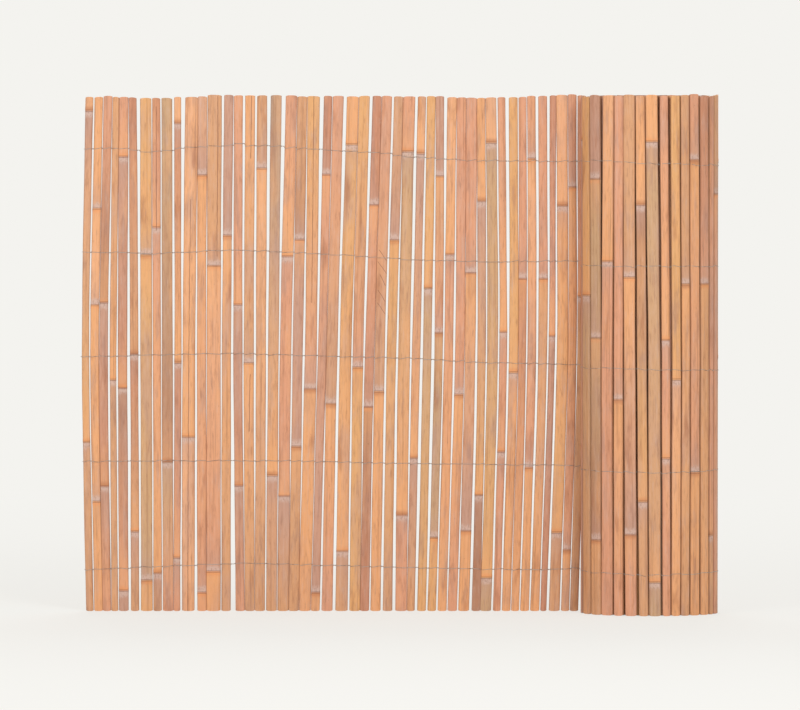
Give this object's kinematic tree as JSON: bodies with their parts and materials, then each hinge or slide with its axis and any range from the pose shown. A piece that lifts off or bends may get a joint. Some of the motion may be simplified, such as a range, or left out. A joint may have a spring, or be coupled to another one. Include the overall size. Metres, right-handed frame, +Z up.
{
  "type": "bamboo fence panel",
  "caption": "Upright split bamboo slats tied by rows of wire into a fence screen, with the rest of its length rolled up at one end.",
  "frame": {"origin": "on the ground under the foot of the first slat, at the free end of the unrolled run", "axes": "+X along the unrolled run towards the roll, +Y through its back face, +Z up the slats"},
  "size_m": [1.2348, 0.1932, 1.004],
  "materials": {
    "bamboo": "dry split cane, matt",
    "wire": "dull galvanised wire"
  },
  "bodies": {
    "root": {"slat_01": "bamboo", "slat_02": "bamboo", "slat_03": "bamboo", "slat_04": "bamboo", "slat_05": "bamboo", "slat_06": "bamboo", "slat_07": "bamboo", "slat_08": "bamboo", "slat_09": "bamboo", "slat_10": "bamboo", "slat_11": "bamboo", "slat_12": "bamboo", "slat_13": "bamboo", "slat_14": "bamboo", "slat_15": "bamboo", "slat_16": "bamboo", "slat_17": "bamboo", "slat_18": "bamboo", "slat_19": "bamboo", "slat_20": "bamboo", "slat_21": "bamboo", "slat_22": "bamboo", "slat_23": "bamboo", "slat_24": "bamboo", "slat_25": "bamboo", "slat_26": "bamboo", "slat_27": "bamboo", "slat_28": "bamboo", "slat_29": "bamboo", "slat_30": "bamboo", "slat_31": "bamboo", "slat_32": "bamboo", "slat_33": "bamboo", "slat_34": "bamboo", "slat_35": "bamboo", "slat_36": "bamboo", "slat_37": "bamboo", "slat_38": "bamboo", "slat_39": "bamboo", "slat_40": "bamboo", "slat_41": "bamboo", "slat_42": "bamboo", "slat_43": "bamboo", "slat_44": "bamboo", "slat_45": "bamboo", "slat_46": "bamboo", "tie_wire_1": "wire", "tie_wire_2": "wire", "tie_wire_3": "wire", "tie_wire_4": "wire", "tie_wire_5": "wire", "rolled_end": "bamboo"}
  },
  "joints": []
}
